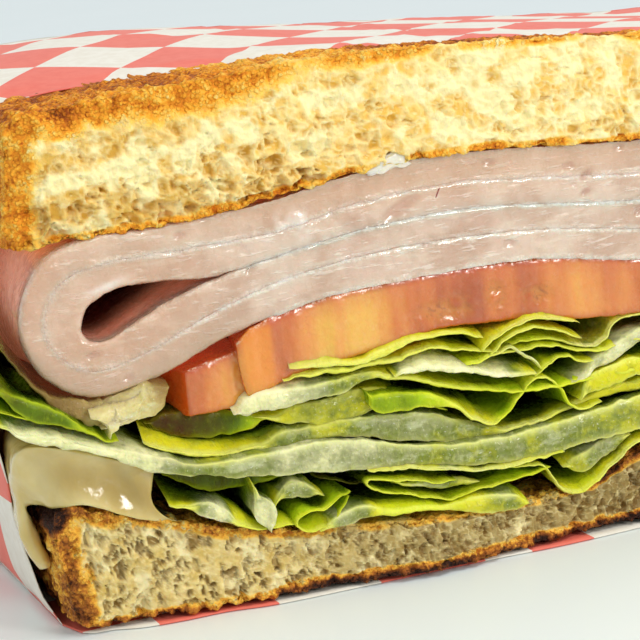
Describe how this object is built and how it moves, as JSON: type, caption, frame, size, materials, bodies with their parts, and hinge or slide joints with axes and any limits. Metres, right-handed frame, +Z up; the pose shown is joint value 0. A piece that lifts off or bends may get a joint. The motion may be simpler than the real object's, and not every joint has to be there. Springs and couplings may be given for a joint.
{
  "type": "turkey sandwich",
  "caption": "Half of a straight-cut toasted sandwich with folded turkey, tomato, lettuce and mayonnaise, held in a checked paper wrap that is open at the cut face.",
  "frame": {"origin": "middle of the slice's width and of the half slice's depth, on the surface that the paper rests on", "axes": "+X right along the cut face, +Y from the cut face back to the crust, +Z up through the layers"},
  "size_m": [0.1224, 0.0613, 0.0608],
  "materials": {
    "toasted_bread": "white bread with an open crumb, toasted golden to dark brown outside, dry and matte",
    "turkey": "moist sliced cooked turkey breast, pale pink, satin with wet highlights",
    "tomato": "cut ripe tomato, wet and glossy",
    "lettuce": "thin leaves, satin with a soft waxy sheen",
    "lettuce_rib": "pale crisp leaf rib, satin",
    "mayonnaise": "smooth glossy sauce",
    "checked_paper": "thin waxed paper printed with red checks"
  },
  "bodies": {
    "root": {"bread_top": "toasted_bread", "bread_bottom": "toasted_bread", "turkey_outer": "turkey", "turkey_inner": "turkey", "tomato_slice": "tomato", "tomato_end": "tomato", "tomato_last": "tomato", "leaf_left": "lettuce", "leaf_long": "lettuce", "leaf_under_rib": "lettuce", "leaf_pale": "lettuce", "leaf_fold": "lettuce", "leaf_frill": "lettuce", "leaf_middle": "lettuce", "leaf_upper": "lettuce", "leaf_low_left": "lettuce", "leaf_low_curl": "lettuce", "leaf_low_front": "lettuce", "leaf_low_back": "lettuce", "leaf_right": "lettuce", "rib_stub": "lettuce_rib", "mayonnaise": "mayonnaise", "mayonnaise_dab": "mayonnaise", "paper_wrap": "checked_paper"}
  },
  "joints": []
}
